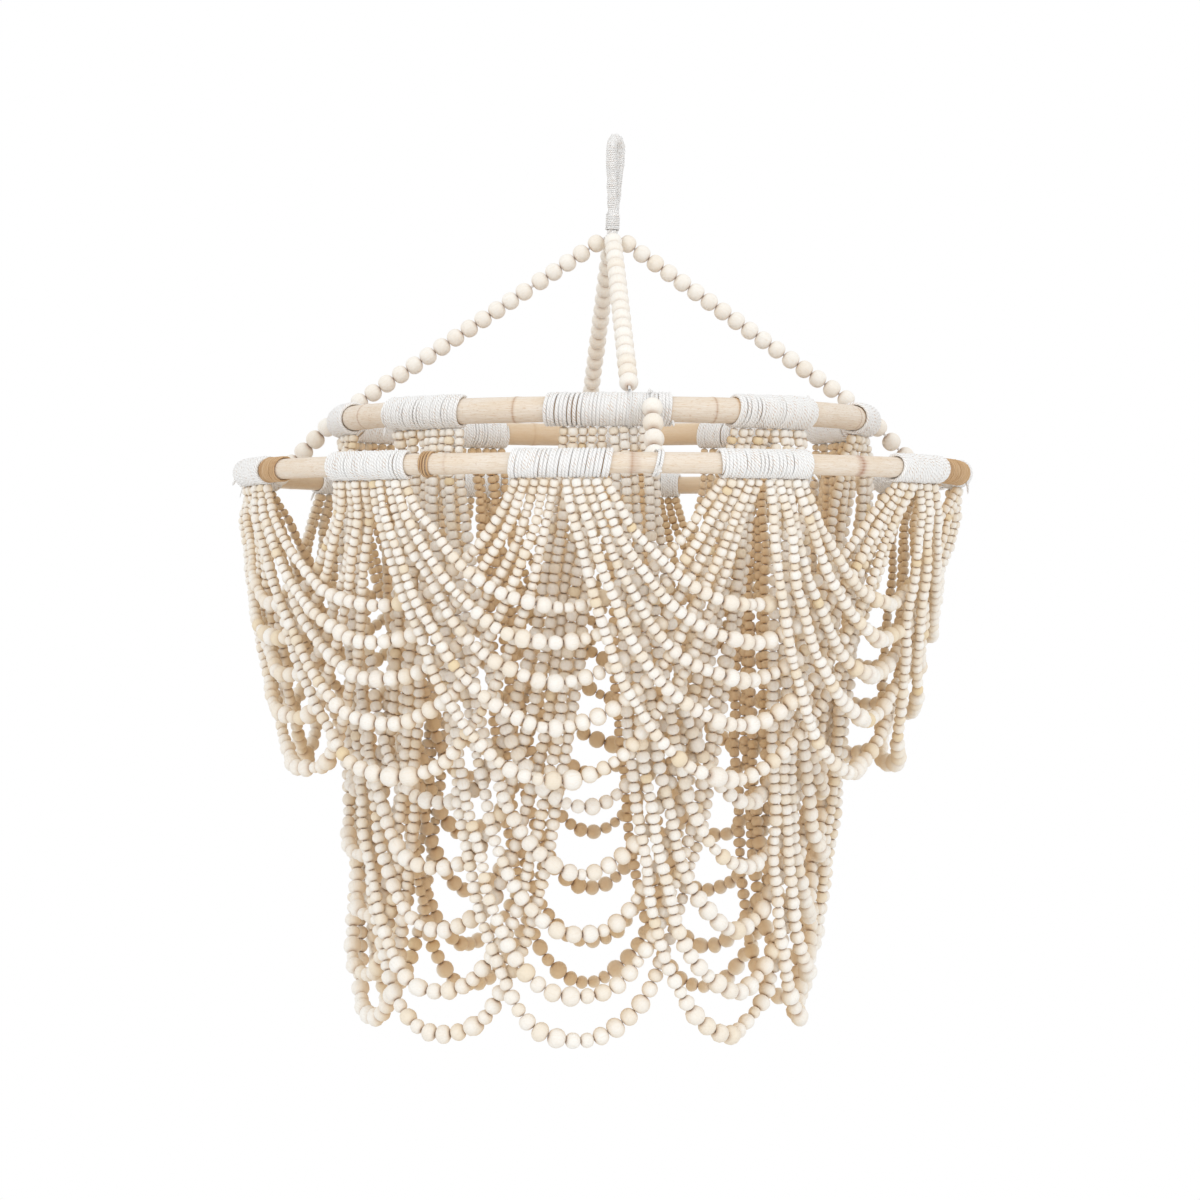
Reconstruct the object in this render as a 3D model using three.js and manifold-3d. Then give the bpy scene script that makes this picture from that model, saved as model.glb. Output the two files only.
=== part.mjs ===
// Beaded chandelier: two cane hoops hung from a cotton loop, dressed with two tiers of bead swags.
// Millimetres, +Z up. The origin is the inside top of the loop, where it rests on its hook.
// The photographed side faces -Y. An azimuth of 0 points at -Y and grows towards +X.
import * as THREE from "three";
import { mergeVertices } from "three/addons/utils/BufferGeometryUtils.js";
import Module from "manifold-3d";

const wasm = await Module();
wasm.setup();

const QUARTER_TURN = 90;
const HALF_TURN = 180;
const FULL_TURN = 360;

// Driving dimensions
const CLEARANCE = 0.4;
const APEX_DROP = 74;
const HOOP_TILT_SHARE = 0.045; // both hoops hang this much out of level, higher towards +X

const UPPER_HOOP = {
  drop: 231.5,
  radius: 215.5,
  rodRadius: 9.9,
};
const OUTER_HOOP = {
  drop: 275,
  radius: 294,
  rodRadius: 7.9,
};
const HOOP_SEGMENTS = 48;
const ROD_SIDES = 8;

// Cord wraps that bind the bead strands to the hoops
const WRAP = {
  wall: 2.6,
  length: 77,
  frontLength: 98,
  bindingWall: 1,
  segmentShare: 0.135, // of the hoop's radius, short enough for the sleeve to follow its curve
};
const UPPER_WRAP_AZIMUTHS = [1, 37, 78, 112, 146, 180, 214, 248, 282, 320];
const OUTER_WRAP_AZIMUTHS = [354.2, 24.4, 57, 88, 116, 144, 173, 203, 231, 260, 290, 323.5];
// Cane bindings on bare rod: the wrap before each, and where it starts and ends on the way to the next wrap
const BINDING_SPAN_SHARES = [
  [10, 0.02, 0.325],
  [11, 0.135, 0.247],
  [2, 0.025, 0.975],
];

// The windings modelled turn by turn, by their place in the list of outer wraps
const WOUND_WRAPS = [0, 1];
const WINDING = {
  cordRadius: 1.25,
  turns: 24,
  stepsPerTurn: 7,
  sides: 4,
  leastGap: 0.4,
};

// Swags of turned wooden beads. Each group is one long string, led back and forth between two wraps.
const STRAND = {
  topRadius: 1.6,
  limbRadius: 3.4,
  bottomRadius: 5.8,
  bigReach: 35,
  smallReach: 110,
  pitch: 7.4,
  firstOffset: 4.3,
  sides: 4,
  layerOffset: 5.6,
  rampDepth: 22,
  crossReach: 18,
  driftShare: 0.014, // of the fall, towards +X: the strings don't fall square to the tilted hoops
};
// bottoms are the falls of a tier's nested passes below its hoop, taper how far the deepest hangs inside
// the hoop's circle, and topGap the space from a wrap to the middle of the strings under it
const CLOSING_SHARE = 0.63; // of the space between the hoops, taken up by the outer tier's taper
const OUTER_SWAGS = {
  name: "outer_swags",
  bottoms: [106, 133, 162, 196, 238],
  taper: CLOSING_SHARE * (OUTER_HOOP.radius - UPPER_HOOP.radius),
  topGap: 1.95,
  slopeAngles: [13, 46],
};
const UPPER_SWAGS = {
  name: "inner_swags",
  bottoms: [304, 355, 404, 452, 487],
  taper: 34.5,
  topGap: 1.45,
  slopeAngles: [14, 42, 70],
};

// Round beads of the hanger and drop strands
const HANGER_BEAD = {
  radius: 7.4,
  length: 13.7,
  bareString: 4,
  sides: 6,
};
const DROP_BEAD = {
  radius: 7.9,
  length: 14.6,
  bareString: 7.8,
  sides: 6,
};
const STRING_RADIUS = 1;
const TIE = {
  length: 8,
  onWrapLength: 3,
  wall: 2.2,
  sides: 8,
};
const HANGER_FACING = 105; // where a hanger meets its tie, in degrees up and over from the hoop's outside
const HANGER_AZIMUTHS = {
  front: besideStrings(UPPER_HOOP, UPPER_WRAP_AZIMUTHS[0], 2),
  right: betweenWraps(UPPER_HOOP, UPPER_WRAP_AZIMUTHS, [2, 0.204]),
  back: besideStrings(UPPER_HOOP, UPPER_WRAP_AZIMUTHS[5], 2),
  left: betweenWraps(UPPER_HOOP, UPPER_WRAP_AZIMUTHS, [7, 0.796]),
};
// Each drop strand is laid over the upper hoop and led under the outer one, at these azimuths
const DROP_STRANDS = {
  front: {
    upper: besideStrings(UPPER_HOOP, UPPER_WRAP_AZIMUTHS[0], 4),
    outer: betweenWraps(OUTER_HOOP, OUTER_WRAP_AZIMUTHS, [0, 0.415]),
  },
  right: {
    upper: betweenWraps(UPPER_HOOP, UPPER_WRAP_AZIMUTHS, [2, 0.87]),
    outer: betweenWraps(OUTER_HOOP, OUTER_WRAP_AZIMUTHS, [3, 0.5]),
  },
  back: {
    upper: besideStrings(UPPER_HOOP, UPPER_WRAP_AZIMUTHS[5], 4),
    outer: betweenWraps(OUTER_HOOP, OUTER_WRAP_AZIMUTHS, [6, 0.433]),
  },
  left: {
    upper: betweenWraps(UPPER_HOOP, UPPER_WRAP_AZIMUTHS, [7, 0.315]),
    outer: besideStrings(OUTER_HOOP, OUTER_WRAP_AZIMUTHS[9], 0),
  },
};

// Cotton loop and crown knot
const LOOP = {
  cordRadius: 4,
  spread: 11,
  stemRadius: 5.2,
  stemLength: 13,
  whippingWall: 0.8,
  whippingLength: 10,
  turnedFromSide: 20,
  steps: 24,
  sides: 8,
  stemSides: 10,
};
const KNOT = {
  radius: 4.5,
  neckRadius: 2.6,
  neckLength: 1.5,
  sides: 10,
  rings: 7,
};

// Materials
function matt(color, roughness) {
  return new THREE.MeshStandardMaterial({ color, roughness, metalness: 0 });
}
const PAINT = {
  cotton: () => matt(0xf2efe8, 0.95),
  cane: () => matt(0xd9bd90, 0.6),
  binding: () => matt(0xb58e5c, 0.75),
  bead: () => matt(0xe8dcc3, 0.8),
};

// Geometry helpers
function radians(degrees) {
  return THREE.MathUtils.degToRad(degrees);
}

function outward(azimuth) {
  const turn = radians(azimuth);
  return new THREE.Vector3(Math.sin(turn), -Math.cos(turn), 0);
}

function onCircle(radius, azimuth, height) {
  return outward(azimuth).multiplyScalar(radius).setZ(height);
}

function arcDegrees(length, radius) {
  return THREE.MathUtils.radToDeg(length / radius);
}

// A place on a wrap between two of its strings, counted from the wrap's middle
function besideStrings(hoop, wrapAzimuth, place) {
  const halfway = Math.sign(place) * (STRAND.firstOffset + (Math.abs(place) - 1 / 2) * STRAND.pitch);
  return wrapAzimuth + arcDegrees(halfway, hoop.radius);
}

// A place on the bare rod between a wrap and the next, as a share of the way across
function betweenWraps(hoop, azimuths, [index, share]) {
  const halfWrap = arcDegrees(WRAP.length / 2, hoop.radius);
  const start = azimuths[index] + halfWrap;
  const end = unwound(azimuths[(index + 1) % azimuths.length], azimuths[index], 1) - halfWrap;
  return THREE.MathUtils.lerp(start, end, share);
}

function cleaned(geometry) {
  const bare = geometry.clone();
  bare.deleteAttribute("normal");
  bare.deleteAttribute("uv");
  return mergeVertices(bare);
}

function solidOf(geometry) {
  const merged = cleaned(geometry);
  const mesh = new wasm.Mesh({
    numProp: 3,
    vertProperties: new Float32Array(merged.attributes.position.array),
    triVerts: new Uint32Array(merged.index.array),
  });
  mesh.merge();
  return new wasm.Manifold(mesh);
}

function geometryOf(solid) {
  const mesh = solid.getMesh();
  const geometry = new THREE.BufferGeometry();
  geometry.setAttribute("position", new THREE.BufferAttribute(mesh.vertProperties, 3));
  geometry.setIndex(new THREE.BufferAttribute(mesh.triVerts, 1));
  return geometry;
}

function joined(geometries) {
  return geometryOf(geometries.map(solidOf).reduce((whole, next) => whole.add(next)));
}

// A lathe whose axis is bent onto a row of points. Each profile entry is [radius, index of its point].
// outwards gives, for each point, a direction that is never along the axis there.
function bentLathe(points, profile, sides, outwards) {
  const lathe = new THREE.LatheGeometry(
    profile.map(([radius, station]) => new THREE.Vector2(radius, station)),
    sides,
  );
  const frames = points.map((point, i) => {
    const before = points[Math.max(i - 1, 0)];
    const after = points[Math.min(i + 1, points.length - 1)];
    const along = after.clone().sub(before).normalize();
    const across = new THREE.Vector3().crossVectors(along, outwards[i]).normalize();
    return { point, across, out: new THREE.Vector3().crossVectors(across, along) };
  });
  const position = lathe.attributes.position;
  for (let v = 0; v < position.count; v++) {
    const frame = frames[Math.round(position.getY(v))];
    const placed = frame.point
      .clone()
      .addScaledVector(frame.across, position.getX(v))
      .addScaledVector(frame.out, position.getZ(v));
    position.setXYZ(v, placed.x, placed.y, placed.z);
  }
  return lathe;
}

function rodAlong(points, radii, sides, outwards) {
  const last = radii.length - 1;
  const profile = [[0, 0], ...radii.map((radius, i) => [radius, i]), [0, last]];
  return bentLathe(points, profile, sides, outwards);
}

// A sleeve on a hoop, from its bore out to its outer radius
function sleeve(hoop, azimuth, length, bore, outer, sides) {
  const span = arcDegrees(length, hoop.radius);
  const segments = Math.ceil(length / (WRAP.segmentShare * hoop.radius));
  const stations = Array.from({ length: segments + 1 }, (_, i) => i);
  const azimuths = stations.map((i) => azimuth + span * (i / segments - 1 / 2));
  const points = azimuths.map((a) => onCircle(hoop.radius, a, -hoop.drop));
  const profile = [
    ...stations.map((i) => [outer, i]),
    ...stations.toReversed().map((i) => [bore, i]),
    [outer, 0],
  ];
  return bentLathe(points, profile, sides, azimuths.map(outward));
}

// Hoops, wraps and bindings
function hoopRing(hoop) {
  const ring = new THREE.TorusGeometry(hoop.radius, hoop.rodRadius, ROD_SIDES, HOOP_SEGMENTS);
  return ring.translate(0, 0, -hoop.drop);
}

function wrapBore(hoop) {
  return hoop.rodRadius + 2 * CLEARANCE;
}

function wrapOuter(hoop) {
  return wrapBore(hoop) + WRAP.wall;
}

function wrapLength(hoop, index) {
  return hoop === UPPER_HOOP && index === 0 ? WRAP.frontLength : WRAP.length;
}

function plainWrap(hoop, azimuth, length) {
  return sleeve(hoop, azimuth, length, wrapBore(hoop), wrapOuter(hoop), ROD_SIDES);
}

// One unbroken cord wound round the rod, turn beside turn
function woundWrap(hoop, azimuth, length, name) {
  const steps = WINDING.turns * WINDING.stepsPerTurn;
  const cornerRadius = (wrapBore(hoop) + WINDING.cordRadius) / Math.cos(Math.PI / WINDING.stepsPerTurn);
  const span = arcDegrees(length - 2 * WINDING.cordRadius, hoop.radius);
  const points = [];
  const outwards = [];
  for (let i = 0; i <= steps; i++) {
    const turn = (2 * Math.PI * i) / WINDING.stepsPerTurn;
    const here = azimuth + span * (i / steps - 1 / 2);
    const away = outward(here).multiplyScalar(Math.cos(turn));
    away.z = Math.sin(turn);
    points.push(onCircle(hoop.radius, here, -hoop.drop).addScaledVector(away, cornerRadius));
    outwards.push(away);
  }
  console.log(name + " least gap between turns " + leastGap(points).toFixed(2) + " mm");
  return rodAlong(points, points.map(() => WINDING.cordRadius), WINDING.sides, outwards);
}

// The least space between turns, measured from each point to the points half a turn or more away
function leastGap(points) {
  let least = Infinity;
  for (let i = 0; i < points.length; i++) {
    for (let j = i + Math.round(WINDING.stepsPerTurn / 2); j < points.length; j++) {
      least = Math.min(least, points[i].distanceTo(points[j]));
    }
  }
  const gap = least - 2 * WINDING.cordRadius;
  if (gap < WINDING.leastGap) console.log("the turns lie closer than " + WINDING.leastGap + " mm");
  return gap;
}

function caneBinding([index, startShare, endShare]) {
  const start = betweenWraps(OUTER_HOOP, OUTER_WRAP_AZIMUTHS, [index, startShare]);
  const end = betweenWraps(OUTER_HOOP, OUTER_WRAP_AZIMUTHS, [index, endShare]);
  const length = radians(end - start) * OUTER_HOOP.radius;
  const bore = wrapBore(OUTER_HOOP);
  return sleeve(OUTER_HOOP, (start + end) / 2, length, bore, bore + WRAP.bindingWall, ROD_SIDES);
}

// Swags: five nested strands that hang between the wraps on either side of a third
function catenaryScale(halfSpan, fall) {
  const widestRatio = 20;
  const halvings = 60;
  let low = halfSpan / widestRatio;
  let high = halfSpan * widestRatio;
  for (let i = 0; i < halvings; i++) {
    const middle = (low + high) / 2;
    const reached = middle * (Math.cosh(halfSpan / middle) - 1);
    if (reached > fall) low = middle;
    else high = middle;
  }
  return low;
}

// Distances from the middle of one strand: slopes round its bottom, then the ramp's depth and the top
function limbStations(fall, scale, tier) {
  const offsets = tier.slopeAngles.map((angle) => scale * Math.asinh(Math.tan(radians(angle))));
  for (const depth of [STRAND.rampDepth, 0]) {
    offsets.push(scale * Math.acosh(1 + (fall - depth) / scale));
  }
  return offsets;
}

function strandRadius(fromBottom, depth) {
  if (depth === 0) return STRAND.topRadius;
  const reach = THREE.MathUtils.inverseLerp(STRAND.smallReach, STRAND.bigReach, fromBottom);
  return THREE.MathUtils.lerp(STRAND.limbRadius, STRAND.bottomRadius, THREE.MathUtils.clamp(reach, 0, 1));
}

// The depth below the origin at which the strings leave the wraps
function stringDrop(hoop, tier) {
  return hoop.drop + wrapOuter(hoop) + tier.topGap;
}

// The stations of one pass, from its left wrap to its right one.
// Limbs that fall from the left pass outside those of the next group, and the others inside.
function passStations(hoop, tier, left, right, bottom) {
  const middle = (left + right) / 2;
  const halfAngle = (right - left) / 2;
  const halfSpan = hoop.radius * Math.sin(radians(halfAngle));
  const chordDistance = hoop.radius * Math.cos(radians(halfAngle));
  const fall = bottom + hoop.drop - stringDrop(hoop, tier);
  const scale = catenaryScale(halfSpan, fall);
  const limb = limbStations(fall, scale, tier);
  const offsets = [...limb.map((u) => -u).reverse(), ...limb];
  return offsets.map((offset, i) => {
    const isEnd = i === 0 || i === offsets.length - 1;
    const depth = isEnd ? 0 : fall - scale * (Math.cosh(offset / scale) - 1);
    const azimuth = middle + THREE.MathUtils.radToDeg(Math.atan2(offset, chordDistance));
    const side = THREE.MathUtils.clamp(-offset / STRAND.crossReach, -1, 1);
    const ramp = Math.min(1, depth / STRAND.rampDepth);
    const inward = (tier.taper * depth) / tier.bottoms.at(-1);
    const away = hoop.radius - inward + side * ramp * STRAND.layerOffset;
    const point = onCircle(away, azimuth, -stringDrop(hoop, tier) - depth);
    return {
      point: point.setX(point.x + STRAND.driftShare * depth),
      radius: strandRadius(Math.abs(scale * Math.sinh(offset / scale)), depth),
    };
  });
}

function swagGroup(hoop, tier, azimuths, index) {
  const count = azimuths.length;
  const middle = azimuths[index];
  const wrapLeft = unwound(azimuths[(index + count - 1) % count], middle, -1);
  const wrapRight = unwound(azimuths[(index + 1) % count], middle, 1);
  const last = tier.bottoms.length - 1;
  const stations = tier.bottoms.flatMap((bottom, i) => {
    const offset = arcDegrees(STRAND.firstOffset + (last - i) * STRAND.pitch, hoop.radius);
    const pass = passStations(hoop, tier, wrapLeft + offset, wrapRight - offset, bottom);
    return i % 2 === 0 ? pass : pass.reverse();
  });
  const facing = outward((wrapLeft + wrapRight) / 2);
  return rodAlong(
    stations.map((station) => station.point),
    stations.map((station) => station.radius),
    STRAND.sides,
    stations.map(() => facing),
  );
}

// The azimuth moved by a whole turn, if need be, to lie on the asked side of another
function unwound(azimuth, other, side) {
  if (side > 0 && azimuth < other) return azimuth + FULL_TURN;
  if (side < 0 && azimuth > other) return azimuth - FULL_TURN;
  return azimuth;
}

// Round beads on a string from one point to another: as many as leave some string bare at both ends
function beadString(from, to, bead, outDirection) {
  const holeShare = 0.5;
  const shoulderShare = 0.96;
  const shoulderPlaceShare = 0.24;
  const along = to.clone().sub(from).normalize();
  const length = from.distanceTo(to);
  const count = Math.floor((length - 2 * bead.bareString) / bead.length);
  const end = bead.bareString + count * bead.length;
  const places = [0];
  const radii = [STRING_RADIUS];
  places.push(bead.bareString);
  radii.push(STRING_RADIUS);
  for (let i = 0; i < count; i++) {
    const start = bead.bareString + i * bead.length;
    places.push(start, start + bead.length * shoulderPlaceShare);
    places.push(start + bead.length * (1 - shoulderPlaceShare));
    radii.push(bead.radius * holeShare, bead.radius * shoulderShare, bead.radius * shoulderShare);
  }
  places.push(end);
  radii.push(bead.radius * holeShare);
  places.push(end, length);
  radii.push(STRING_RADIUS, STRING_RADIUS);
  const points = places.map((place) => from.clone().addScaledVector(along, place));
  return straightRod(points, along, radii, bead.sides, outDirection);
}

// Like rodAlong, for a straight row of points in which two may lie at one place
function straightRod(points, along, radii, sides, outDirection) {
  const profile = points.map((point, i) => new THREE.Vector2(radii[i], points[0].distanceTo(point)));
  const ends = [new THREE.Vector2(0, profile[0].y), new THREE.Vector2(0, profile.at(-1).y)];
  const lathe = new THREE.LatheGeometry([ends[0], ...profile, ends[1]], sides);
  const across = new THREE.Vector3().crossVectors(along, outDirection).normalize();
  const out = new THREE.Vector3().crossVectors(across, along);
  const place = new THREE.Matrix4().makeBasis(across, along, out);
  return lathe.applyMatrix4(place.setPosition(points[0]));
}

function isOnWrap(hoop, azimuths, azimuth) {
  return azimuths.some((wrap, i) => {
    const turned = THREE.MathUtils.euclideanModulo(azimuth - wrap + HALF_TURN, FULL_TURN);
    const apart = Math.abs(turned - HALF_TURN);
    return apart < arcDegrees(wrapLength(hoop, i), hoop.radius) / 2;
  });
}

function tieBore(hoop, azimuths, azimuth) {
  return (isOnWrap(hoop, azimuths, azimuth) ? wrapOuter(hoop) : hoop.rodRadius) + 2 * CLEARANCE;
}

function tieRing(hoop, azimuths, azimuth) {
  const bore = tieBore(hoop, azimuths, azimuth);
  const length = isOnWrap(hoop, azimuths, azimuth) ? TIE.onWrapLength : TIE.length;
  return sleeve(hoop, azimuth, length, bore, bore + TIE.wall, TIE.sides);
}

function tieReach(hoop, azimuths, azimuth) {
  return tieBore(hoop, azimuths, azimuth) + TIE.wall / 2;
}

// The point in the wall of a tie that faces a direction up or down from the rod
function tiePoint(hoop, azimuths, azimuth, facing) {
  const reach = tieReach(hoop, azimuths, azimuth);
  const away = outward(azimuth).multiplyScalar(Math.cos(facing));
  away.z = Math.sin(facing);
  return onCircle(hoop.radius, azimuth, -hoop.drop).addScaledVector(away, reach);
}

function hangerStrand(azimuth) {
  const low = tiePoint(UPPER_HOOP, UPPER_WRAP_AZIMUTHS, azimuth, radians(HANGER_FACING));
  const apex = new THREE.Vector3(0, 0, -APEX_DROP);
  const away = low.clone().sub(apex).normalize();
  const high = apex.clone().addScaledVector(away, KNOT.radius + CLEARANCE);
  const beads = beadString(high, low, HANGER_BEAD, outward(azimuth + QUARTER_TURN));
  return joined([tieRing(UPPER_HOOP, UPPER_WRAP_AZIMUTHS, azimuth), beads]);
}

// The angle above level of the point where a strand led over the upper hoop and under the outer one leaves
// the upper hoop, straight as a line that touches both
function dropFacing(upperReach, outerReach) {
  const run = OUTER_HOOP.radius - UPPER_HOOP.radius;
  const fall = OUTER_HOOP.drop - UPPER_HOOP.drop;
  const crossing = Math.asin((upperReach + outerReach) / Math.hypot(run, fall));
  return Math.PI / 2 - Math.atan2(fall, run) - crossing;
}

function dropStrand({ upper, outer }) {
  const upperReach = tieReach(UPPER_HOOP, UPPER_WRAP_AZIMUTHS, upper);
  const outerReach = tieReach(OUTER_HOOP, OUTER_WRAP_AZIMUTHS, outer);
  const facing = dropFacing(upperReach, outerReach);
  const high = tiePoint(UPPER_HOOP, UPPER_WRAP_AZIMUTHS, upper, facing);
  const low = tiePoint(OUTER_HOOP, OUTER_WRAP_AZIMUTHS, outer, facing + Math.PI);
  const beads = beadString(high, low, DROP_BEAD, new THREE.Vector3(0, 0, 1));
  return joined([
    tieRing(UPPER_HOOP, UPPER_WRAP_AZIMUTHS, upper),
    beads,
    tieRing(OUTER_HOOP, OUTER_WRAP_AZIMUTHS, outer),
  ]);
}

// The cotton loop, its whipping and the crown knot below it
function loopStemBottom() {
  return KNOT.radius + KNOT.neckLength - APEX_DROP;
}

function loopPath() {
  const top = LOOP.cordRadius;
  const height = top - loopStemBottom();
  const halfOutlineShares = [
    [0.08, 1],
    [0.1, 0.86],
    [0.3, 0.72],
    [0.68, 0.45],
    [1, 0.2],
    [0.92, 0.09],
    [0.55, 0.022],
  ];
  const side = (sign) =>
    halfOutlineShares.map(([x, z]) => new THREE.Vector3(sign * x * LOOP.spread, 0, top - z * height));
  const points = [...side(-1), new THREE.Vector3(0, 0, top), ...side(1).reverse()];
  return new THREE.CatmullRomCurve3(points);
}

function hangingLoop() {
  const section = new THREE.Shape();
  section.absarc(0, 0, LOOP.cordRadius, 0, 2 * Math.PI);
  const cord = new THREE.ExtrudeGeometry(section, {
    extrudePath: loopPath(),
    steps: LOOP.steps,
    curveSegments: LOOP.sides / 2,
    bevelEnabled: false,
  });
  const stem = upright(LOOP.stemRadius, LOOP.stemLength, loopStemBottom(), LOOP.stemSides);
  const whole = joined([cord, stem]);
  return whole.rotateZ(radians(QUARTER_TURN - LOOP.turnedFromSide));
}

function upright(radius, length, bottom, sides) {
  const rod = new THREE.CylinderGeometry(radius, radius, length, sides);
  return rod.rotateX(Math.PI / 2).translate(0, 0, bottom + length / 2);
}

function loopWhipping() {
  const bore = LOOP.stemRadius + CLEARANCE;
  const outer = bore + LOOP.whippingWall;
  const low = loopStemBottom();
  const high = low + LOOP.whippingLength;
  const profile = [
    new THREE.Vector2(bore, low),
    new THREE.Vector2(outer, low),
    new THREE.Vector2(outer, high),
    new THREE.Vector2(bore, high),
    new THREE.Vector2(bore, low),
  ];
  return new THREE.LatheGeometry(profile, LOOP.stemSides).rotateX(Math.PI / 2);
}

function crownKnot() {
  const ball = new THREE.SphereGeometry(KNOT.radius, KNOT.sides, KNOT.rings).rotateX(Math.PI / 2);
  ball.translate(0, 0, -APEX_DROP);
  const neckTop = loopStemBottom() - CLEARANCE;
  const neck = upright(KNOT.neckRadius, neckTop + APEX_DROP, -APEX_DROP, LOOP.stemSides);
  return joined([ball, neck]);
}

// Assembly
const chandelier = new THREE.Group();

function addPiece(name, geometry, material) {
  const piece = new THREE.Mesh(geometryOf(solidOf(geometry)), material);
  piece.name = name;
  chandelier.add(piece);
}

function tilted(geometry) {
  const tilt = new THREE.Matrix4().set(1, 0, 0, 0, 0, 1, 0, 0, HOOP_TILT_SHARE, 0, 1, 0, 0, 0, 0, 1);
  return geometry.applyMatrix4(tilt);
}

function numbered(name, index) {
  return name + "_" + String(index + 1).padStart(2, "0");
}

addPiece("hanging_loop", hangingLoop(), PAINT.cotton());
addPiece("loop_whipping", loopWhipping(), PAINT.cotton());
addPiece("crown_knot", crownKnot(), PAINT.cotton());
addPiece("upper_hoop", tilted(hoopRing(UPPER_HOOP)), PAINT.cane());
addPiece("outer_hoop", tilted(hoopRing(OUTER_HOOP)), PAINT.cane());
for (const [side, azimuth] of Object.entries(HANGER_AZIMUTHS)) {
  addPiece("hanger_strand_" + side, tilted(hangerStrand(azimuth)), PAINT.bead());
}
for (const [side, strand] of Object.entries(DROP_STRANDS)) {
  addPiece("drop_strand_" + side, tilted(dropStrand(strand)), PAINT.bead());
}
UPPER_WRAP_AZIMUTHS.forEach((azimuth, i) => {
  const wrap = plainWrap(UPPER_HOOP, azimuth, wrapLength(UPPER_HOOP, i));
  addPiece(numbered("upper_wrap", i), tilted(wrap), PAINT.cotton());
  const swags = swagGroup(UPPER_HOOP, UPPER_SWAGS, UPPER_WRAP_AZIMUTHS, i);
  addPiece(numbered(UPPER_SWAGS.name, i), tilted(swags), PAINT.bead());
});
OUTER_WRAP_AZIMUTHS.forEach((azimuth, i) => {
  const name = numbered("outer_wrap", i);
  const length = wrapLength(OUTER_HOOP, i);
  const wound = WOUND_WRAPS.includes(i);
  const wrap = wound ? woundWrap(OUTER_HOOP, azimuth, length, name) : plainWrap(OUTER_HOOP, azimuth, length);
  addPiece(name, tilted(wrap), PAINT.cotton());
  const swags = swagGroup(OUTER_HOOP, OUTER_SWAGS, OUTER_WRAP_AZIMUTHS, i);
  addPiece(numbered(OUTER_SWAGS.name, i), tilted(swags), PAINT.bead());
});
BINDING_SPAN_SHARES.forEach((spanShares, i) => {
  addPiece(numbered("cane_binding", i), tilted(caneBinding(spanShares)), PAINT.binding());
});

export default chandelier;
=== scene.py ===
"""Looks of a beaded chandelier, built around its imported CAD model.

Lengths of the chandelier are in millimetres until a mesh is made, those of the camera, floor and lamps in
metres. An azimuth of 0 degrees points at the camera, along -Y, and grows towards +X. Heights are measured
from the inside top of the hanging loop.
"""
import math

import bpy
import numpy as np
from mathutils import Matrix, Vector


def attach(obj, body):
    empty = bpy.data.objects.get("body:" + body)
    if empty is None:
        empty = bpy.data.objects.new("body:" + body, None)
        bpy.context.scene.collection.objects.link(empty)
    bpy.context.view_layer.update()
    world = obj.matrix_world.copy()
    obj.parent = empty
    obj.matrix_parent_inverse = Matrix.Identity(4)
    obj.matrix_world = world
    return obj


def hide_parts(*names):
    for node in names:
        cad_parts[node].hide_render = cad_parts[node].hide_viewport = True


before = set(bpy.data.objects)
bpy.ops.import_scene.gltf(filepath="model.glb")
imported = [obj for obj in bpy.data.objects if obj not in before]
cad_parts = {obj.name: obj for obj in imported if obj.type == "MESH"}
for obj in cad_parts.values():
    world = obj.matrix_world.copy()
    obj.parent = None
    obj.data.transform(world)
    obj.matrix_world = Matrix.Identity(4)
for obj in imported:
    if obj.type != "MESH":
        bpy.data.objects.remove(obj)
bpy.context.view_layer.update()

MM = 0.001
SEED = 7
TURN = 2 * math.pi
FULL_CIRCLE = 360
HALF_CIRCLE = 180

# The construction, as in the CAD model
CLEARANCE = 0.4
APEX_DROP = 74
HOOP_TILT_SHARE = 0.045
UPPER_HOOP = {"name": "upper_hoop", "drop": 231.5, "radius": 215.5, "rod": 9.9}
OUTER_HOOP = {"name": "outer_hoop", "drop": 275, "radius": 294, "rod": 7.9}
UPPER_WRAPS = [1, 37, 78, 112, 146, 180, 214, 248, 282, 320]
OUTER_WRAPS = [354.2, 24.4, 57, 88, 116, 144, 173, 203, 231, 260, 290, 323.5]
# In wraps and ties, cord is the radius of the wound cord and closer is how far it sinks below the bore
WRAP = {"wall": 2.6, "length": 77, "front_length": 98, "cord": 1.5, "closer": 0.3}
STRAND = {"pitch": 7.4, "first_offset": 4.3, "layer_offset": 5.6, "ramp_depth": 22, "cross_reach": 18}
DRIFT_SHARE = 0.014
CLOSING_SHARE = 0.63
OUTER_TAPER = CLOSING_SHARE * (OUTER_HOOP["radius"] - UPPER_HOOP["radius"])
OUTER_TIER = {
    "name": "outer_swags",
    "bottoms": [106, 133, 162, 196, 238],
    "taper": OUTER_TAPER,
    "top_gap": 1.95,
}
INNER_TIER = {"name": "inner_swags", "bottoms": [304, 355, 404, 452, 487], "taper": 34.5, "top_gap": 1.45}
TIE_WALL = 2.2
TIE_ON_ROD = {"length": 8, "cord": 1.25, "closer": 0.4}
TIE_ON_WRAP = {"length": 3, "cord": 0.75, "closer": 0.3}
HANGER_FACING = 105
KNOT = {"radius": 4.5, "neck_length": 1.5}
LOOP = {"cord": 4, "spread": 11, "turned": 70, "stem": 5.2, "stem_length": 13}
WHIPPING = {"length": 10, "skirt": 4.4}
# Half the outline of the loop as shares of its spread and height, from its foot up
LOOP_OUTLINE_SHARES = [
    (0.08, 1), (0.1, 0.86), (0.3, 0.72), (0.68, 0.45), (1, 0.2), (0.92, 0.09), (0.55, 0.022),
]
# The wrap before each cane binding, and where it starts and ends on the way to the next wrap
BINDING_SPAN_SHARES = [(10, 0.02, 0.325), (11, 0.135, 0.247), (2, 0.025, 0.975)]

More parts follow.
